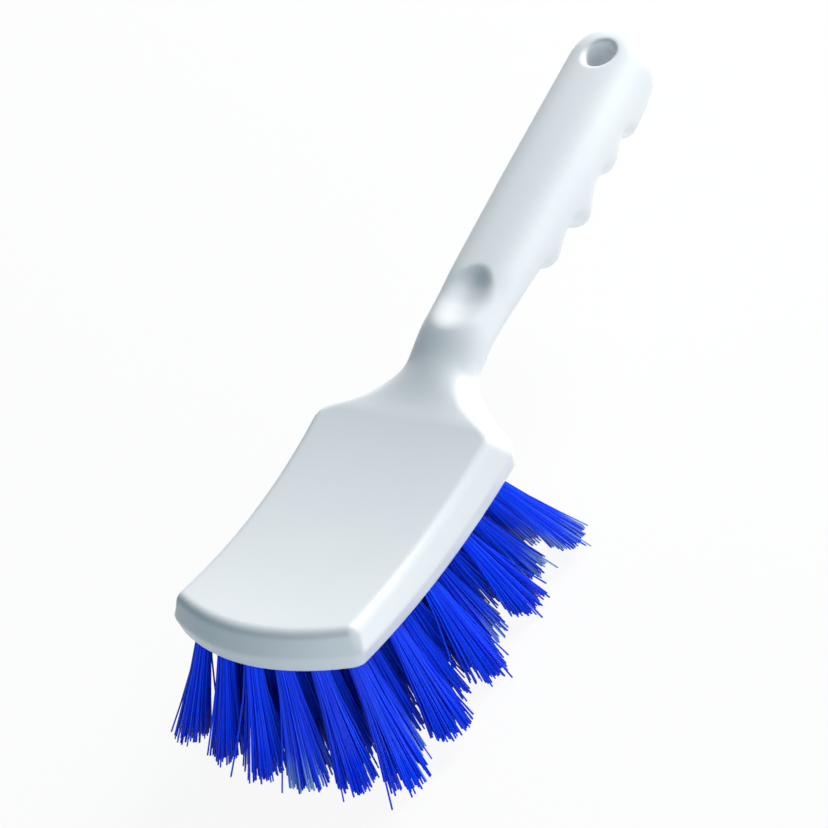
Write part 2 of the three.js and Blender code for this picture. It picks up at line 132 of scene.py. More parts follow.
def soft_max(a: Array, b: Array, softness: float) -> Array:
    """Takes the larger of two values, with the corner between them eased."""
    gap = np.abs(a - b)
    return np.maximum(a, b) + np.where(gap < softness, (softness - gap) ** 2 / (4.0 * softness), 0.0)


# Finishes


class Sheet:
    """The node tree of one material, written from its Principled surface outwards."""

    def __init__(self, name: str) -> None:
        """Starts a material with that name.

        Args:
            name: Name of the material.
        """
        self.material: bpy.types.Material = bpy.data.materials.new(name)
        self.material.use_nodes = True
        self.tree: bpy.types.NodeTree = self.material.node_tree
        self.surface: bpy.types.Node = self.tree.nodes["Principled BSDF"]
        self.output: bpy.types.Node = self.tree.nodes["Material Output"]

    def node(self, kind: str, values: dict[str, object] | None = None, **settings: object) -> bpy.types.Node:
        """Adds a node.

        Args:
            kind: Blender's name for the kind of node.
            values: Values for its input sockets, by name.
            **settings: Values for its properties.

        Returns:
            The new node.
        """
        made = self.tree.nodes.new(kind)
        for name, value in settings.items():
            setattr(made, name, value)
        for name, value in (values or {}).items():
            made.inputs[name].default_value = value
        return made

    def link(self, source: Socket, target: Socket) -> None:
        """Joins two sockets."""
        self.tree.links.new(source, target)

    def noise(self, scale: float, detail: float, stretch: Triple = (1, 1, 1)) -> Socket:
        """Adds noise in the brush's own coordinates.

        Args:
            scale: Spots to the metre, roughly.
            detail: Layers of finer noise.
            stretch: Scale along each axis, for streaks.

        Returns:
            The noise, from 0 to 1.
        """
        place = self.node("ShaderNodeTexCoord")
        mapping = self.node("ShaderNodeMapping", {"Scale": stretch})
        look = {"Scale": scale, "Detail": detail, "Roughness": NOISE_ROUGHNESS}
        made = self.node("ShaderNodeTexNoise", look)
        self.link(place.outputs["Object"], mapping.inputs["Vector"])
        self.link(mapping.outputs["Vector"], made.inputs["Vector"])
        return made.outputs["Fac"]

    def ramp(self, value: Socket, low: float, high: float, to: tuple[float, float]) -> Socket:
        """Maps a value from low and high to a new pair, without running past it.

        Args:
            value: The value that is mapped.
            low: Where it starts.
            high: Where it ends.
            to: What it becomes at these two.

        Returns:
            The mapped value.
        """
        limits = {"From Min": low, "From Max": high, "To Min": to[0], "To Max": to[1]}
        made = self.node("ShaderNodeMapRange", limits)
        self.link(value, made.inputs["Value"])
        return made.outputs["Result"]

    def blend(self, share: Socket, a: object, b: object) -> Socket:
        """Blends two colours, each a socket or three numbers.

        Args:
            share: How much of the second there is.
            a: First colour.
            b: Second colour.

        Returns:
            The blended colour.
        """
        made = self.node("ShaderNodeMix", data_type="RGBA")
        self.link(share, made.inputs[0])
        for socket, colour in ((made.inputs[6], a), (made.inputs[7], b)):
            if isinstance(colour, Socket):
                self.link(colour, socket)
            else:
                socket.default_value = (*colour, 1.0)
        return made.outputs[2]

    def bump(self, height: Socket, strength: float, depth: float) -> None:
        """Raises the surface by a height.

        Args:
            height: The height, from 0 to 1.
            strength: How much of it shows.
            depth: Height of 1, in metres.
        """
        made = self.node("ShaderNodeBump", {"Strength": strength, "Distance": depth})
        self.link(height, made.inputs["Height"])
        self.link(made.outputs["Normal"], self.surface.inputs["Normal"])


@dataclass(frozen=True)
class WhitePlastic:
    """Satin-gloss white moulding: a faint cloud in its colour, fine grain and a few rubbed streaks."""

    clear: Triple = (0.865, 0.878, 0.9)
    cloudy: Triple = (0.835, 0.852, 0.878)
    cloud_scale: float = 26.0
    rub_scale: float = 160.0
    rub_stretch: Triple = (0.25, 1.0, 1.0)
    roughness: tuple[float, float] = (0.3, 0.4)
    grain_scale: float = 900.0
    grain_strength: float = 0.12
    grain_depth: float = 0.00006
    refraction: float = 1.49

    def material(self) -> bpy.types.Material:
        """Makes the material.

        Returns:
            The material.
        """
        sheet = Sheet("white_moulded_plastic")
        cloud = sheet.ramp(sheet.noise(self.cloud_scale, detail=3.0), low=0.3, high=0.7, to=(0.0, 1.0))
        sheet.link(sheet.blend(cloud, self.clear, self.cloudy), sheet.surface.inputs["Base Color"])
        rub = sheet.noise(self.rub_scale, detail=4.0, stretch=self.rub_stretch)
        sheet.link(sheet.ramp(rub, low=0.3, high=0.75, to=self.roughness), sheet.surface.inputs["Roughness"])
        sheet.bump(sheet.noise(self.grain_scale, detail=2.0), self.grain_strength, self.grain_depth)
        sheet.surface.inputs["IOR"].default_value = self.refraction
        return sheet.material


@dataclass(frozen=True)
class BlueFilament:
    """Shiny drawn filament: each strand has its own shade, and some have frayed, paler tips."""

    deep: Triple = (0.0, 0.026, 0.8)
    bright: Triple = (0.002, 0.08, 1.0)
    frayed: Triple = (0.3, 0.52, 0.88)
    gloss: float = 0.2
    clearness: float = 0.3
    drawn_scale: float = 1500.0
    drawn_stretch: Triple = (1.0, 1.0, 0.06)
    roughness: tuple[float, float] = (0.3, 0.46)
    refraction: float = 1.5

    def material(self) -> bpy.types.Material:
        """Makes the material.

        Returns:
            The material.
        """
        sheet = Sheet("blue_drawn_filament")
        shade = sheet.node("ShaderNodeAttribute", attribute_name=TuftField.SHADE)
        fray = sheet.node("ShaderNodeAttribute", attribute_name=TuftField.FRAY)
        strand = sheet.blend(shade.outputs["Fac"], self.deep, self.bright)
        colour = sheet.blend(fray.outputs["Fac"], strand, self.frayed)
        sheet.link(colour, sheet.surface.inputs["Base Color"])
        drawn = sheet.noise(self.drawn_scale, detail=2.0, stretch=self.drawn_stretch)
        sheet.link(sheet.ramp(drawn, low=0.3, high=0.7, to=self.roughness), sheet.surface.inputs["Roughness"])
        sheet.surface.inputs["IOR"].default_value = self.refraction
        sheet.surface.inputs["Specular IOR Level"].default_value = self.gloss
        through = sheet.node("ShaderNodeBsdfTranslucent")
        sheet.link(colour, through.inputs["Color"])
        both = sheet.node("ShaderNodeMixShader", {"Fac": self.clearness})
        sheet.link(sheet.surface.outputs[0], both.inputs[1])
        sheet.link(through.outputs[0], both.inputs[2])
        sheet.link(both.outputs[0], sheet.output.inputs["Surface"])
        return sheet.material


@dataclass(frozen=True)
class StapleSteel:
    """Drawn flat wire: grey steel with streaks along it and a few dull spots."""

    bright: Triple = (0.7, 0.71, 0.73)
    dull: Triple = (0.46, 0.46, 0.47)
    spot_scale: float = 700.0
    streak_scale: float = 2500.0
    streak_stretch: Triple = (0.08, 1.0, 1.0)
    roughness: tuple[float, float] = (0.26, 0.44)

    def material(self) -> bpy.types.Material:
        """Makes the material.

        Returns:
            The material.
        """
        sheet = Sheet("staple_drawn_steel")
        spots = sheet.ramp(sheet.noise(self.spot_scale, detail=3.0), low=0.45, high=0.75, to=(0.0, 1.0))
        sheet.link(sheet.blend(spots, self.bright, self.dull), sheet.surface.inputs["Base Color"])
        streaks = sheet.noise(self.streak_scale, detail=2.0, stretch=self.streak_stretch)
        rough = sheet.ramp(streaks, low=0.3, high=0.7, to=self.roughness)
        sheet.link(rough, sheet.surface.inputs["Roughness"])
        sheet.surface.inputs["Metallic"].default_value = 1.0
        return sheet.material


@dataclass(frozen=True)
class PaleFloor:
    """Plain pale floor that keeps a soft shadow and looks near white to the camera."""

    colour: Triple = (0.9, 0.9, 0.9)
    lift: float = 0.92

    def material(self) -> bpy.types.Material:
        """Makes the material.

        Returns:
            The material.
        """
        sheet = Sheet("pale_floor")
        sheet.tree.nodes.remove(sheet.surface)
        seen = seen_directly(sheet.tree)
        matt = sheet.node("ShaderNodeBsdfDiffuse", {"Color": (*self.colour, 1.0)})
        glow = sheet.node("ShaderNodeEmission", {"Color": (*WHITE, 1.0), "Strength": 1.0})
        share = sheet.node("ShaderNodeMath", operation="MULTIPLY")
        share.inputs[1].default_value = self.lift
        sheet.link(seen, share.inputs[0])
        both = sheet.node("ShaderNodeMixShader")
        sheet.link(share.outputs[0], both.inputs[0])
        sheet.link(matt.outputs[0], both.inputs[1])
        sheet.link(glow.outputs[0], both.inputs[2])
        sheet.link(both.outputs[0], sheet.output.inputs["Surface"])
        return sheet.material


def seen_directly(tree: bpy.types.NodeTree) -> Socket:
    """Adds nodes that tell camera, glossy and transmission rays from the rest.

    Args:
        tree: Node tree of a stage material or of the world.

    Returns:
        1 for these rays, and 0 for the light that falls on the object.
    """
    path = tree.nodes.new("ShaderNodeLightPath")
    found = path.outputs["Is Camera Ray"]
    for name in ("Is Glossy Ray", "Is Transmission Ray"):
        larger = tree.nodes.new("ShaderNodeMath")
        larger.operation = "MAXIMUM"
        tree.links.new(found, larger.inputs[0])
        tree.links.new(path.outputs[name], larger.inputs[1])
        found = larger.outputs[0]
    return found


# Meshes


def skin(values: Array, low: Array, cell: float) -> tuple[Array, Array]:
    """Lays a skin of quads where a field on a grid changes sign.

    Args:
        values: The field at the grid's points, negative inside.
        low: Place of the grid's first point.
        cell: Spacing of the grid.

    Returns:
        The skin's points, and the four points of each quad, facing outwards.
    """
    inside = values < 0.0
    corners = [(i, j, k) for i in (0, 1) for j in (0, 1) for k in (0, 1)]
    span = [n - 1 for n in values.shape]
    count = np.zeros(span, np.int8)
    for i, j, k in corners:
        count += inside[i:i + span[0], j:j + span[1], k:k + span[2]]
    cells = np.argwhere((count > 0) & (count < 8))
    at = np.stack([values[tuple((cells + c).T)] for c in corners], 1)
    total = np.zeros((len(cells), 3))
    crossings = np.zeros(len(cells))
    for a in range(8):
        for b in range(a + 1, 8):
            step = np.subtract(corners[b], corners[a])
            if np.abs(step).sum() != 1:
                continue
            cut = (at[:, a] < 0.0) != (at[:, b] < 0.0)
            share = at[cut, a] / (at[cut, a] - at[cut, b])
            total[cut] += np.add(corners[a], share[:, None] * step)
            crossings[cut] += 1.0
    points = low + cell * (cells + total / crossings[:, None])
    number = np.full(span, -1, np.int64)
    number[tuple(cells.T)] = np.arange(len(cells))
    quads = []
    for axis in range(3):
        first, second = [(axis + n) % 3 for n in (1, 2)]
        ahead = np.moveaxis(inside, (axis, first, second), (0, 1, 2))
        grid = np.moveaxis(number, (axis, first, second), (0, 1, 2))
        here, there = ahead[:-1, 1:-1, 1:-1], ahead[1:, 1:-1, 1:-1]
        for leaves in (True, False):
            i, j, k = np.nonzero((here != there) & (here == leaves))
            ring = [grid[i, j, k], grid[i, j + 1, k], grid[i, j + 1, k + 1], grid[i, j, k + 1]]
            quads.append(np.stack(ring if leaves else ring[::-1], 1))
    return points, np.concatenate(quads)


def mesh_piece(name: str, points: Array, quads: Array) -> bpy.types.Object:
    """Makes a smooth-shaded object.

    Args:
        name: Name of the piece.
        points: Its points, in millimetres.
        quads: The four points of each face.

    Returns:
        The object, in the scene.
    """
    mesh = bpy.data.meshes.new(name)
    mesh.vertices.add(len(points))
    mesh.vertices.foreach_set("co", (points * MM).astype(np.float32).ravel())
    mesh.loops.add(quads.size)
    mesh.loops.foreach_set("vertex_index", quads.astype(np.int32).ravel())
    mesh.polygons.add(len(quads))
    mesh.polygons.foreach_set("loop_start", np.arange(0, quads.size, 4, dtype=np.int32))
    mesh.update(calc_edges=True)
    mesh.validate()
    mesh.shade_smooth()
    piece = bpy.data.objects.new(name, mesh)
    bpy.context.scene.collection.objects.link(piece)
    return piece


# The brush


@dataclass
class BrushBody:
    """The white moulding: arched block, shoulders, neck, finger-grip handle, thumb rest and hang hole.

    It is a distance field in the brush's own coordinates: s runs along the block's arched top and on along
    the handle, with 0 at the rear corners, y runs across, and h stands square to the run, with 0 on the
    block's top.
    """

    centring: float = 60.276
    block_length: float = 92.0
    block_width: float = 70.6
    front_thickness: float = 14.4
    rear_thickness: float = 18.5
    arch_radius: float = 240.0
    arch_low_point: float = 31.5
    arch_height: float = 58.5
    front_bulge: float = 10.7
    waist: float = 0.9
    front_fillet: float = 2.8
    shoulder_edge: float = 5.0
    edge_growth: tuple[float, float] = (-6.0, 14.0)
    parting_share: float = 0.6
    side_draft: float = 1.5
    shoulder_flare: float = 3.8
    under_bevel: float = 2.0
    parting_edge: float = 0.3
    least_drop: float = 1.0
    under_edge: float = 0.8
    front_corner: float = 2.4
    rear_corner: float = 3.0
    handle_slope: float = math.radians(6.5)
    handle_reach: float = 174.0
    handle_rise: float = 4.6
    shoulder_sweep: float = math.radians(40.5)
    shoulder_blend: float = 5.0
    shoulder_fillet: float = 9.0
    neck_length: float = 28.5
    under_rise: float = 40.0
    ramp: tuple[float, float] = (4.0, 40.0)
    crest_at: float = 39.0
    crest_length: float = 34.0
    crest_height: float = 1.0
    crest_power: float = 2.0
    neck_width: float = 27.2
    neck_depth: float = 14.7
    grip_width: float = 30.8
    grip_depth: float = 19.5
    swell_start: float = 45.0
    grip_start: float = 114.0
    ridge_heights: tuple[float, ...] = (7.0, 10.0, 7.0)
    ridge_sharpness: float = 2.3
    finger_pitch: float = 21.9
    first_ridge: float = 82.7
    heel_inset: float = 30.0
    heel_height: float = 8.4
    heel_fall: float = 24.3
    heel_power: float = 1.0
    end_rounding: float = 16.2
    end_plan_power: float = 2.15
    end_side_power: float = 2.75
    end_stop: float = 0.999
    handle_squareness: float = 2.65
    neck_squareness: float = 2.0
    squaring: tuple[float, float] = (40.0, 64.0)
    neck_widest: float = 0.56
    handle_widest: float = 0.5
    hang_hole_diameter: float = 11.0
    hang_hole_fillet: float = 1.9
    hang_hole_inset: float = 16.7
    thumb_rest_at: float = 53.0
    thumb_rest_front: float = 12.0
    thumb_rest_rear: float = 7.0
    thumb_rest_width: float = 12.0
    thumb_rest_depth: float = 3.2
    thumb_rest_bowl: float = 6.5
    thumb_rest_rims: tuple[float, float] = (6.0, 2.5)
    hole_diameter: float = 5.0
    hole_depth: float = 11.5
    hole_rim: float = 0.35
    # Laying of the surface: when a hole is close enough to count, the grid, and how points move onto it.
    hole_near: float = 2.0
    hole_below: float = 4.0
    cell: float = 0.8
    grid_margin: float = 3.0
    bow_rounds: int = 2
    settle_rounds: int = 3
    probe: float = 0.05
    least_slope: float = 0.2
    longest_move: float = 0.5
    relax_rounds: int = 3
    relax_share: float = 0.6
    finish: WhitePlastic = field(default_factory=WhitePlastic)

    def __post_init__(self) -> None:
        """Works out what follows from the sizes."""
        self.rear_angle = self.arch_low_point / self.arch_radius
        self.arc_centre = self.arch_height + self.arch_radius
        self.hole_at = self.handle_reach - self.hang_hole_inset
        self.heel_at = self.handle_reach - self.heel_inset
        self.end_from = self.handle_reach - self.end_rounding

    def tilt(self, s: Array) -> Array:
        """Gives the slope of the brush at s, in radians."""
        eased = mix(self.rear_angle, self.handle_slope, smoothstep(s, 0.0, self.neck_length))
        return np.where(s <= 0.0, self.rear_angle + s / self.arch_radius, eased)

    def place(self, s: Array, y: Array, h: Array) -> Array:
        """Turns the brush's own coordinates into places before the brush is centred.

        Args:
            s: Along the run.
            y: Across.
            h: Square to the run.

        Returns:
            The points, one to a row.
        """
        arc = np.minimum(s, 0.0) / self.arch_radius + self.rear_angle
        along = np.maximum(s, 0.0)
        tilt = self.tilt(s)
        x = self.arch_radius * np.sin(arc) + along * math.cos(self.handle_slope) - h * np.sin(tilt)
        z = (self.arc_centre - self.arch_radius * np.cos(arc) + along * math.sin(self.handle_slope)
             + h * np.cos(tilt))
        return np.stack([x, y, z], -1)

    def unroll(self, points: Array) -> tuple[Array, Array, Array]:
        """Turns places in the part's frame into the brush's own coordinates.

        Args:
            points: Points in millimetres, one to a row.

        Returns:
            The points' s, y and h, with lines across the block straightened.
        """
        x, y, z = points[:, 0] + self.centring, points[:, 1], points[:, 2]
        down = self.arc_centre - z
        turn = np.arctan2(x, down)
        right = x - self.arch_radius * math.sin(self.rear_angle)
        up = z - self.arc_centre + self.arch_radius * math.cos(self.rear_angle)
        cos, sin = math.cos(self.handle_slope), math.sin(self.handle_slope)
        s_handle, h_handle = right * cos + up * sin, up * cos - right * sin
        s_handle = s_handle + h_handle * np.sin(self.tilt(np.maximum(s_handle, TINY)) - self.handle_slope)
        on_block = turn <= self.rear_angle
        s = np.where(on_block, (turn - self.rear_angle) * self.arch_radius, s_handle)
        h = np.where(on_block, self.arch_radius - np.hypot(x, down), h_handle)
        straight = s
        for _ in range(self.bow_rounds):
            bow = self.front_bulge * np.maximum(0.0, 1.0 - (y / self.block_half(straight)) ** 2)
            inner = s / (1.0 + bow / self.block_length)
            straight = np.where(s > 0.0, s, np.where(s < -self.block_length - bow, s + bow, inner))
        return straight, y, h

    def block_half(self, s: Array) -> Array:
        """Gives half the width of the block's top edge, drawn in at mid-length."""
        from_middle = 2.0 * s / self.block_length + 1.0
        return self.block_width / 2.0 - self.waist * np.maximum(0.0, 1.0 - from_middle ** 2)

    def thickness(self, s: Array) -> Array:
        """Gives the thickness of the block, which thins towards the front."""
        return mix(self.rear_thickness, self.front_thickness, np.clip(-s / self.block_length, 0.0, 1.0))

    def ridge(self, s: Array) -> Array:
        """Gives how far down a finger ridge or the heel reaches.

        Args:
            s: Along the run.

        Returns:
            The reach, from 0 in a groove.
        """
        places = [(self.first_ridge + i * self.finger_pitch, height)
                  for i, height in enumerate(self.ridge_heights)]
        heel = self.heel_height * bump(np.maximum(0.0, s - self.heel_at), self.heel_fall, self.heel_power)
        found = np.where(s > self.heel_at, heel, 0.0)
        for at, height in places + [(self.heel_at, self.heel_height)]:
            share = bump(np.abs(s - at), self.finger_pitch / 2.0, self.ridge_sharpness)
            found = np.maximum(found, height * share)
        return found

    def grip(self, s: Array) -> Array:
        """Gives how far the neck has grown to the full grip at s."""
        return smoothstep(s, self.swell_start, self.grip_start)

    def grip_half(self, s: Array) -> Array:
        """Gives half the width of the neck and handle."""
        return mix(self.neck_width, self.grip_width, self.grip(s)) / 2.0

    def span(self, s: Array) -> tuple[Array, Array, Array, Array]:
        """Gives the body's section.

        Args:
            s: Along the run.

        Returns:
            The half-width, the top, the bottom, and the height where the section is widest.
        """
        shoulder = self.block_width / 2.0 - np.maximum(s, 0.0) / math.tan(self.shoulder_sweep)
        behind = soft_max(shoulder, self.grip_half(s), self.shoulder_blend)
        half = np.where(s <= 0.0, self.block_half(s), behind)
        crest = self.crest_height * bump(np.abs(s - self.crest_at), self.crest_length / 2.0, self.crest_power)
        top = self.handle_rise * smoothstep(s, *self.ramp) + crest
        ridge = self.ridge(s)
        depth = mix(self.neck_depth, self.grip_depth, self.grip(s)) + ridge
        bottom = mix(-self.thickness(s), self.handle_rise - depth, smoothstep(s, 0.0, self.under_rise))
        end = np.clip((s - self.end_from) / self.end_rounding, 0.0, self.end_stop)
        taper = (1.0 - end ** self.end_plan_power) ** (1.0 / self.end_plan_power)
        slim = (1.0 - end ** self.end_side_power) ** (1.0 / self.end_side_power)
        widest = mix(self.neck_widest, self.handle_widest, smoothstep(s, *self.squaring))
        middle = mix(top, bottom + ridge, widest)
        return half * taper, mix(middle, top, slim), mix(middle, bottom, slim), middle

    def outline(self, s: Array, wide: Array, flare: Array | float) -> Array:
        """Measures to the outline of the block and its flared shoulders, seen from above.

        Args:
            s: Along the run.
            wide: How far across, less the splay of the wall.
            flare: How much further the shoulders stand out.

        Returns:
            Distances, negative inside.
        """
        shoulder = wide - flare - self.block_width / 2.0 + s / math.tan(self.shoulder_sweep)
        slanted = shoulder * math.sin(self.shoulder_sweep)
        plan = round_max(wide - self.block_half(s), slanted, self.rear_corner)
        return round_min(plan, wide - flare - self.grip_half(s), self.shoulder_fillet)

    def block_field(self, s: Array, y: Array, h: Array, top: Array, bottom: Array) -> Array:
        """Measures to the block and its shoulders.

        Args:
            s: Along the run.
            y: Across.
            h: Square to the run.
            top: Height of the top at each point.
            bottom: Height of the underside at each point.

        Returns:
            Distances, negative inside.
        """
        edge = mix(self.front_fillet, self.shoulder_edge, smoothstep(s, *self.edge_growth))
        parting = mix(top, bottom, self.parting_share)
        drop = np.maximum(top - edge - parting, self.least_drop)
        fall = parting - bottom
        down = (top - edge - h) / drop
        under = (parting - h) / fall
        bevel_slant = np.hypot(1.0, self.under_bevel / fall)
        wide = np.abs(y) - self.side_draft * down
        upper = self.outline(s, wide, self.shoulder_flare * down) / np.hypot(1.0, self.side_draft / drop)
        wide = np.abs(y) - self.side_draft + self.under_bevel * under
        lower = self.outline(s, wide, self.shoulder_flare) / bevel_slant
        sides = round_max(upper, lower, self.parting_edge)
        ahead = -self.block_length - s
        ahead_upper = (ahead - self.side_draft * down) / np.hypot(1.0, self.side_draft / drop)
        ahead_lower = (ahead - self.side_draft + self.under_bevel * under) / bevel_slant
        front = round_max(ahead_upper, ahead_lower, self.parting_edge)
        walls = round_max(sides, front, self.front_corner)
        return round_max(round_max(walls, h - top, edge), bottom - h, self.under_edge)

    def handle_field(self, s: Array, y: Array, h: Array, half: Array, top: Array,
                     bottom: Array, middle: Array) -> Array:
        """Measures to the neck and handle, whose section goes from an oval towards a box.

        Args:
            s: Along the run.
            y: Across.
            h: Square to the run.
            half: Half the handle's width at each point.
            top: Height of its top.
            bottom: Height of its bottom.
            middle: Height where it is widest.

        Returns:
            Distances, negative inside.
        """
        power = mix(self.neck_squareness, self.handle_squareness, smoothstep(s, *self.squaring))
        up = h - middle
        tall = np.where(up > 0.0, top - middle, middle - bottom)
        reach = (np.abs(y) / half) ** power + (np.abs(up) / tall) ** power
        reach = np.maximum(reach, TINY) ** (1.0 / power)
        return np.hypot(y, up) * (reach - 1.0) / reach

    def thumb_rest(self, s: Array, y: Array, h: Array) -> Array:
        """Measures to the ellipsoid that scoops the thumb rest.

        Args:
            s: Along the run.
            y: Across.
            h: Square to the run.

        Returns:
            Distances, negative inside the scoop.
        """
        sunk = self.thumb_rest_bowl - self.thumb_rest_depth
        spread = 1.0 / math.sqrt(1.0 - (sunk / self.thumb_rest_bowl) ** 2)
        reach = np.where(s < self.thumb_rest_at, self.thumb_rest_front, self.thumb_rest_rear)
        radii = (reach * spread, self.thumb_rest_width * spread / 2.0, self.thumb_rest_bowl)
        top = self.span(np.array([self.thumb_rest_at]))[1]
        away = (s - self.thumb_rest_at, y, h - top - sunk)
        near = np.sqrt(sum((a / r) ** 2 for a, r in zip(away, radii)))
        slope = np.sqrt(sum((a / r ** 2) ** 2 for a, r in zip(away, radii)))
        return near * (near - 1.0) / np.maximum(slope, TINY)

    def measure(self, points: Array, holes: list["Tuft"]) -> Array:
        """Measures from points to the moulding's surface.

        Args:
            points: Points in millimetres, one to a row.
            holes: The tufts, whose holes are cut in the underside.

        Returns:
            Distances, negative inside the moulding.
        """
        s, y, h = self.unroll(points)
        half, top, bottom, middle = self.span(s)
        block = self.block_field(s, y, h, top, bottom)
        handle = self.handle_field(s, y, h, half, top, bottom, middle)
        found = mix(block, handle, smoothstep(s, 0.0, self.neck_length))
        found = np.maximum(found, s - self.handle_reach)
        ends = (self.thumb_rest_at - self.thumb_rest_rear, self.thumb_rest_at + self.thumb_rest_rear)
        rim = mix(*self.thumb_rest_rims, smoothstep(s, *ends))
        found = round_max(found, -self.thumb_rest(s, y, h), rim)
        bore = np.hypot(s - self.hole_at, y) - self.hang_hole_diameter / 2.0
        found = round_max(found, -bore, self.hang_hole_fillet)
        reach = self.hole_depth + self.cell
        above, below = bottom + self.hole_depth + self.hole_near, bottom - self.hole_below
        low = np.nonzero((s < reach) & (h < above) & (h > below))[0]
        for tuft in holes:
            away = points[low] - tuft.root
            up = -(away @ tuft.axis)
            across = np.sqrt(np.maximum(0.0, (away * away).sum(1) - up * up)) - self.hole_diameter / 2.0
            close = across < self.hole_near
            hole = np.maximum(across[close], up[close] - self.hole_depth)
            found[low[close]] = round_max(found[low[close]], -hole, self.hole_rim)
        return found

    def settle(self, points: Array, holes: list["Tuft"]) -> Array:
        """Moves points that are close to the surface onto it.

        Args:
            points: Points in millimetres, one to a row.
            holes: The tufts, whose holes are cut in the underside.

        Returns:
            The moved points.
        """
        longest = self.longest_move * self.cell
        steps = [self.probe * axis for axis in np.eye(3)]
        for _ in range(self.settle_rounds):
            gap = self.measure(points, holes)
            rise = [self.measure(points + step, holes) - self.measure(points - step, holes) for step in steps]
            slope = np.stack(rise, 1) / (2.0 * self.probe)
            move = -gap[:, None] * slope / np.maximum((slope * slope).sum(1), self.least_slope)[:, None]
            length = np.linalg.norm(move, axis=1)
            points = points + move * np.minimum(1.0, longest / np.maximum(length, TINY))[:, None]
        return points

    def surface(self, holes: list["Tuft"]) -> tuple[Array, Array]:
        """Lays the moulding's surface, with even faces that lie on it.

        Args:
            holes: The tufts, whose holes are cut in the underside.

        Returns:
            Points in millimetres, and the four points of each face.
        """
        low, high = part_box("brush_body")
        margin = self.grid_margin * self.cell
        start = np.array(low) / MM - margin
        steps = np.ceil((np.array(high) / MM + margin - start) / self.cell).astype(int) + 1
        across, up = np.meshgrid(np.arange(steps[1]), np.arange(steps[2]), indexing="ij")
        values = np.empty(steps, np.float32)
        for i in range(steps[0]):
            index = np.stack([np.full(across.shape, i), across, up], -1).reshape(-1, 3)
            values[i] = self.measure(start + self.cell * index, holes).reshape(across.shape)
        points, quads = skin(values, start, self.cell)
        points = self.settle(points, holes)
        for _ in range(self.relax_rounds):
            total, count = np.zeros_like(points), np.zeros(len(points))
            for a, b in zip(quads.T, np.roll(quads, -1, 1).T):
                np.add.at(total, a, points[b])
                np.add.at(count, a, 1.0)
            points = self.settle(mix(points, total / count[:, None], self.relax_share), holes)
        return points, quads

    def build(self, holes: list["Tuft"]) -> bpy.types.Object:
        """Makes the moulding and dresses it.

        Args:
            holes: The tufts, whose holes are cut in the underside.

        Returns:
            The piece, riding on the brush in place of its solid.
        """
        piece = mesh_piece("moulded_body", *self.surface(holes))
        piece.data.materials.append(self.finish.material())
        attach(piece, BODY)
        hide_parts("brush_body")
        return piece


@dataclass(frozen=True)
class Tuft:
    """One tuft: its row, the point where it leaves the block, and the way it leaves."""

    row: int
    root: Array
    axis: Array


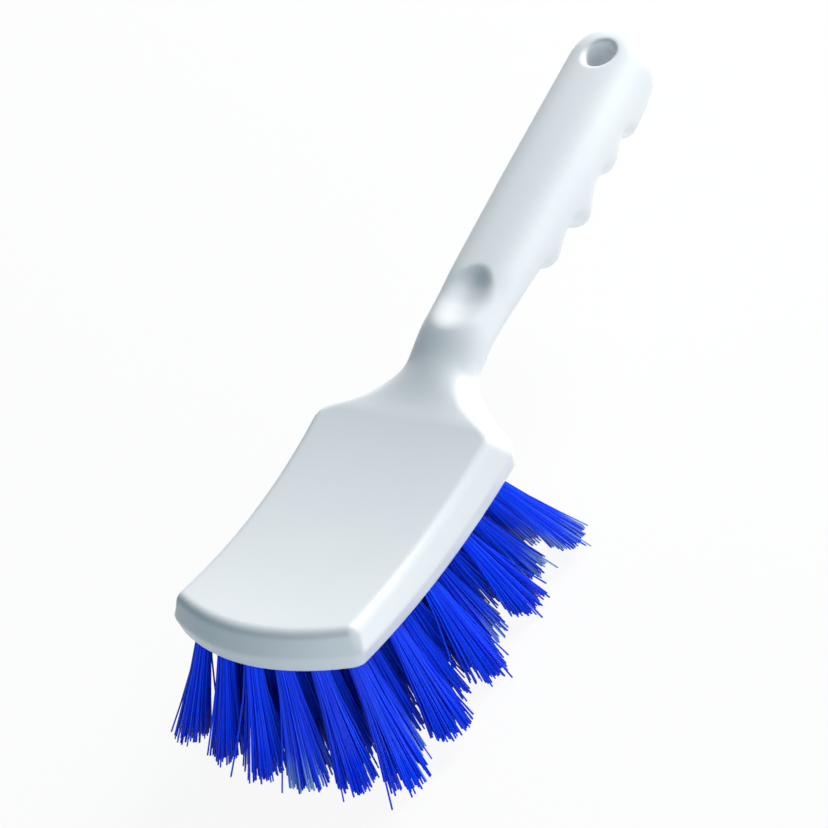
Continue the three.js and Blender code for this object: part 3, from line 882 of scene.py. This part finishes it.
@dataclass
class TuftField:
    """The blue tufts: bundles of cut filament that fan out from staggered holes under the block.

    The lean out at the front corners eases to that of the sides over corner_share of the rows. The other
    values that end in share say what part of the filaments is cut short, strays from its tuft or is frayed.
    """

    SHADE = "strand_shade"
    FRAY = "strand_fray"

    body: BrushBody
    rows: int = 9
    wide_row: int = 6
    front_row_inset: float = 7.0
    rear_row_inset: float = 6.0
    side_row_inset: float = 5.6
    front_lean: float = math.radians(18.0)
    rear_lean: float = math.radians(19.5)
    side_lean: float = math.radians(12.0)
    corner_lean: float = math.radians(19.0)
    corner_share: float = 0.5
    length: float = 44.0
    filaments: int = 150
    filament_radius: float = 0.33
    root_radius: float = 2.4
    root_depth: float = 8.0
    tip_radius: float = 7.3
    tip_swell: tuple[float, float] = (0.85, 1.1)
    tip_scatter: float = 0.45
    fan_power: float = 0.9
    bend_power: float = 0.35
    ragged: float = 0.9
    tuft_ragged: float = 0.8
    short_share: float = 0.12
    short_by: tuple[float, float] = (1.0, 4.0)
    stray_share: float = 0.03
    stray_swell: float = 1.7
    frayed_tufts: float = 0.4
    fray_share: float = 0.6
    odd_fray_share: float = 0.02
    fray_strength: tuple[float, float] = (0.4, 1.0)
    fray_zone: tuple[float, float] = (0.7, 1.0)
    sides: int = 4
    stations: tuple[float, ...] = (0.35, 0.7, 1.0)
    seed: int = 11
    finish: BlueFilament = field(default_factory=BlueFilament)

    def lay_out(self) -> list[Tuft]:
        """Places every tuft.

        Returns:
            The tufts, row by row from the front.
        """
        tufts = []
        body = self.body
        for row in range(self.rows):
            share = row / (self.rows - 1)
            s = mix(-body.block_length + self.front_row_inset, -self.rear_row_inset, share)
            half = float(body.block_half(np.array(s)))
            outer = half + body.side_draft - body.under_bevel - self.side_row_inset
            side_lean = mix(self.corner_lean, self.side_lean, min(1.0, share / self.corner_share))
            columns = self.wide_row - row % 2
            for column in range(columns):
                y = (column - (columns - 1) / 2.0) * 2.0 * outer / (self.wide_row - 1)
                bow = body.front_bulge * (-s / body.block_length) * (1.0 - (y / half) ** 2)
                h = -float(body.thickness(np.array(s)))
                root = body.place(np.array(s - bow), np.array(y), np.array(h)) - [body.centring, 0.0, 0.0]
                axis = np.array([math.tan(mix(-self.front_lean, self.rear_lean, share)),
                                 math.tan(side_lean) * y / outer, -1.0])
                tufts.append(Tuft(row, root, axis / np.linalg.norm(axis)))
        return tufts

    def strands(self, tuft: Tuft, rng: np.random.Generator) -> tuple[Array, Array, Array]:
        """Fans out the filaments of a tuft.

        Args:
            tuft: The tuft.
            rng: Source of its scatter.

        Returns:
            Middle line of each filament, one point to a station, with each filament's shade and fray.
        """
        count = self.filaments
        round_at = rng.uniform(0.0, 2.0 * math.pi, count)
        out = np.sqrt(rng.uniform(0.0, 1.0, count))
        ray = np.stack([np.cos(round_at), np.sin(round_at), np.zeros(count)], 1)
        root = tuft.root + self.root_radius * out[:, None] * ray
        root[:, 2] = tuft.root[2]
        stray = rng.uniform(0.0, 1.0, count) < self.stray_share
        swell = self.tip_radius * rng.uniform(*self.tip_swell) * np.where(stray, self.stray_swell, 1.0)
        splay = (swell * out ** self.fan_power)[:, None] * ray + rng.normal(0.0, self.tip_scatter, (count, 3))
        length = min(tuft.root[2] / -tuft.axis[2], self.length)
        short = np.abs(rng.normal(0.0, self.ragged, count))
        cut = rng.uniform(0.0, 1.0, count) < self.short_share
        short = np.where(cut, rng.uniform(*self.short_by, count), short) + rng.uniform(0.0, self.tuft_ragged)
        tip = tuft.root + tuft.axis * (length - short)[:, None] + splay
        tip[:, 2] = np.maximum(tuft.root[2] + tuft.axis[2] * (length - short), 0.0)
        inner = root - tuft.axis * self.root_depth
        lines = [inner, root]
        for t in self.stations:
            straight = mix(root, tip, t)
            held = root + tuft.axis * ((tip - root) @ tuft.axis)[:, None] * t
            lines.append(mix(held, straight, t ** self.bend_power))
        shade = rng.uniform(0.0, 1.0, count)
        share = self.fray_share if rng.uniform() < self.frayed_tufts else self.odd_fray_share
        frays = rng.uniform(0.0, 1.0, count) < share
        fray = np.where(frays, rng.uniform(*self.fray_strength, count), 0.0)
        return np.stack(lines, 1), shade, fray

    def bank_mesh(self, name: str, tufts: list[Tuft], rng: np.random.Generator) -> bpy.types.Object:
        """Makes the filaments of some tufts as one piece.

        Args:
            name: Name of the piece.
            tufts: The tufts.
            rng: Source of their scatter.

        Returns:
            The piece, with each strand's shade and fray on its points.
        """
        fanned = [self.strands(tuft, rng) for tuft in tufts]
        lines, shade, fray = (np.concatenate(parts) for parts in zip(*fanned))
        count, stations = lines.shape[:2]
        roll = rng.uniform(0.0, 2.0 * math.pi, count)
        turn = roll[:, None] + np.arange(self.sides) * 2.0 * math.pi / self.sides
        ring = self.filament_radius * np.stack([np.cos(turn), np.sin(turn), np.zeros_like(turn)], -1)
        points = (lines[:, :, None, :] + ring[:, None, :, :]).reshape(-1, 3)
        first = (np.arange(count) * stations * self.sides)[:, None, None]
        level = (np.arange(stations - 1) * self.sides)[None, :, None]
        side = np.arange(self.sides)[None, None, :]
        here = first + level + side
        beside = first + level + (side + 1) % self.sides
        walls = np.stack([here, here + self.sides, beside + self.sides, beside], -1).reshape(-1, 4)
        last = first[:, 0] + (stations - 1) * self.sides
        caps = (last + np.arange(self.sides)[::-1]).reshape(-1, 4)
        piece = mesh_piece(name, points, np.concatenate([walls, caps]))
        along = np.linspace(0.0, 1.0, stations)
        tip_only = smoothstep(along, *self.fray_zone)
        values = {self.SHADE: np.repeat(shade, stations * self.sides),
                  self.FRAY: np.repeat(fray[:, None] * tip_only, self.sides, axis=1).ravel()}
        for key, value in values.items():
            made = piece.data.attributes.new(key, "FLOAT", "POINT")
            made.data.foreach_set("value", value.astype(np.float32))
        return piece

    def build(self, tufts: list[Tuft]) -> list[bpy.types.Object]:
        """Makes the banks of tufts and dresses them.

        Args:
            tufts: Every tuft.

        Returns:
            The pieces, riding on the brush in place of their solids.
        """
        rng = np.random.default_rng(self.seed)
        material = self.finish.material()
        pieces = []
        for bank in Bank:
            members = [tuft for tuft in tufts if bank.holds(tuft.row)]
            piece = self.bank_mesh(f"filaments_{bank.name.lower()}", members, rng)
            piece.data.materials.append(material)
            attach(piece, BODY)
            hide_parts(bank.node)
            pieces.append(piece)
        return pieces


@dataclass
class Staples:
    """The flat steel staples inside the tuft holes, which keep their solids."""

    prefix: str = "staple_"
    finish: StapleSteel = field(default_factory=StapleSteel)

    def dress(self) -> list[bpy.types.Object]:
        """Gives every staple its steel.

        Returns:
            The staples.
        """
        material = self.finish.material()
        found = [node for name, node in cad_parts.items() if name.startswith(self.prefix)]
        for node in found:
            node.data.materials.clear()
            node.data.materials.append(material)
        return found


# The studio


@dataclass
class Lamp:
    """A soft square lamp that points at the brush."""

    name: str
    place: Triple
    side: float
    watts: float
    colour: Triple = WHITE
    for_tufts: bool = False

    def build(self, target: Vector, tufts: list[bpy.types.Object]) -> None:
        """Hangs the lamp.

        Args:
            target: Point that it faces.
            tufts: What it lights alone, if it is a lamp for the tufts.
        """
        light = bpy.data.lights.new(self.name, "AREA")
        light.size = self.side
        light.energy = self.watts
        light.color = self.colour
        lamp = bpy.data.objects.new(self.name, light)
        lamp.location = self.place
        lamp.rotation_euler = (target - Vector(self.place)).to_track_quat("-Z", "Y").to_euler()
        bpy.context.scene.collection.objects.link(lamp)
        if self.for_tufts:
            lit = bpy.data.collections.new(f"{self.name}_lights")
            for piece in tufts:
                lit.objects.link(piece)
            lamp.light_linking.receiver_collection = lit


@dataclass
class Studio:
    """Pale floor, soft lamps round the brush with one for the tufts alone, and the camera."""

    floor_side: float = 14.0
    floor_drop: float = 0.0003
    sky: Triple = (0.42, 0.82, 1.0)
    sky_level: float = 0.15
    azimuth: float = math.radians(-44.448)
    elevation: float = math.radians(40.087)
    roll: float = math.radians(-23.962)
    eye: Triple = (-0.76634, -0.75666, 0.949985)
    focal_pixels: float = 4247.36
    sensor: float = 36.0
    aim: Triple = (0.0, 0.0, 0.05)
    lamps: tuple[Lamp, ...] = (
        Lamp("key_lamp", (1.27, -0.3, 0.78), 0.7, 32.5, (1.0, 0.99, 0.98)),
        Lamp("side_lamp", (-0.5, -0.95, 0.25), 0.6, 3.2, (1.0, 0.99, 0.98)),
        Lamp("front_lamp", (-1.6, -0.5, 0.14), 1.0, 5.0, (0.66, 0.88, 1.0)),
        Lamp("tuft_lamp", (-0.8, -1.0, 0.14), 0.8, 14.0, for_tufts=True),
    )

    def lay_floor(self) -> None:
        """Lays the floor under the tips of the tufts."""
        half = self.floor_side / 2.0 / MM
        drop = -self.floor_drop / MM
        corners = [(half * a, half * b, drop) for a, b in ((-1, -1), (1, -1), (1, 1), (-1, 1))]
        floor = mesh_piece("pale_floor", np.array(corners), np.array([[0, 1, 2, 3]]))
        floor.data.materials.append(PaleFloor().material())

    def light(self, tufts: list[bpy.types.Object]) -> None:
        """Sets the sky and hangs the lamps.

        Args:
            tufts: The banks of tufts, which have a lamp of their own.
        """
        world = bpy.data.worlds.new("studio_sky")
        bpy.context.scene.world = world
        world.use_nodes = True
        tree = world.node_tree
        fill = tree.nodes["Background"]
        fill.inputs["Color"].default_value = (*self.sky, 1.0)
        fill.inputs["Strength"].default_value = self.sky_level
        white = tree.nodes.new("ShaderNodeBackground")
        white.inputs["Color"].default_value = (*WHITE, 1.0)
        both = tree.nodes.new("ShaderNodeMixShader")
        tree.links.new(seen_directly(tree), both.inputs[0])
        tree.links.new(fill.outputs[0], both.inputs[1])
        tree.links.new(white.outputs[0], both.inputs[2])
        tree.links.new(both.outputs[0], tree.nodes["World Output"].inputs["Surface"])
        for lamp in self.lamps:
            lamp.build(Vector(self.aim), tufts)

    def set_camera(self) -> None:
        """Sets the camera where the picture was taken from, turned as the picture is."""
        a, e, turn = self.azimuth, self.elevation, self.roll
        back = Vector((math.sin(a) * math.cos(e), -math.cos(a) * math.cos(e), math.sin(e)))
        level = Vector((math.cos(a), math.sin(a), 0.0))
        up = back.cross(level)
        right = level * math.cos(turn) + up * math.sin(turn)
        rise = up * math.cos(turn) - level * math.sin(turn)
        data = bpy.data.cameras.new("camera")
        data.sensor_width = self.sensor
        data.lens = self.focal_pixels / IMAGE_SIDE * self.sensor
        camera = bpy.data.objects.new("camera", data)
        axes = Matrix((right, rise, back)).transposed().to_4x4()
        camera.matrix_world = Matrix.Translation(self.eye) @ axes
        bpy.context.scene.collection.objects.link(camera)
        bpy.context.scene.camera = camera

    def build(self, tufts: list[bpy.types.Object]) -> None:
        """Lays the floor, lights the brush and sets the camera.

        Args:
            tufts: The banks of tufts.
        """
        self.lay_floor()
        self.light(tufts)
        self.set_camera()
        bpy.context.scene.view_settings.view_transform = "Standard"


def main() -> None:
    """Builds the brush and its studio."""
    logging.basicConfig(level=logging.INFO, format="%(name)s: %(message)s")
    body = BrushBody()
    tuft_field = TuftField(body)
    tufts = tuft_field.lay_out()
    moulding = body.build(tufts)
    log.info("%s: %d faces", moulding.name, len(moulding.data.polygons))
    banks = tuft_field.build(tufts)
    for piece in banks:
        log.info("%s: %d faces", piece.name, len(piece.data.polygons))
    log.info("staples dressed: %d", len(Staples().dress()))
    Studio().build(banks)
    log.info("boxes written")


if __name__ == "__main__":
    main()
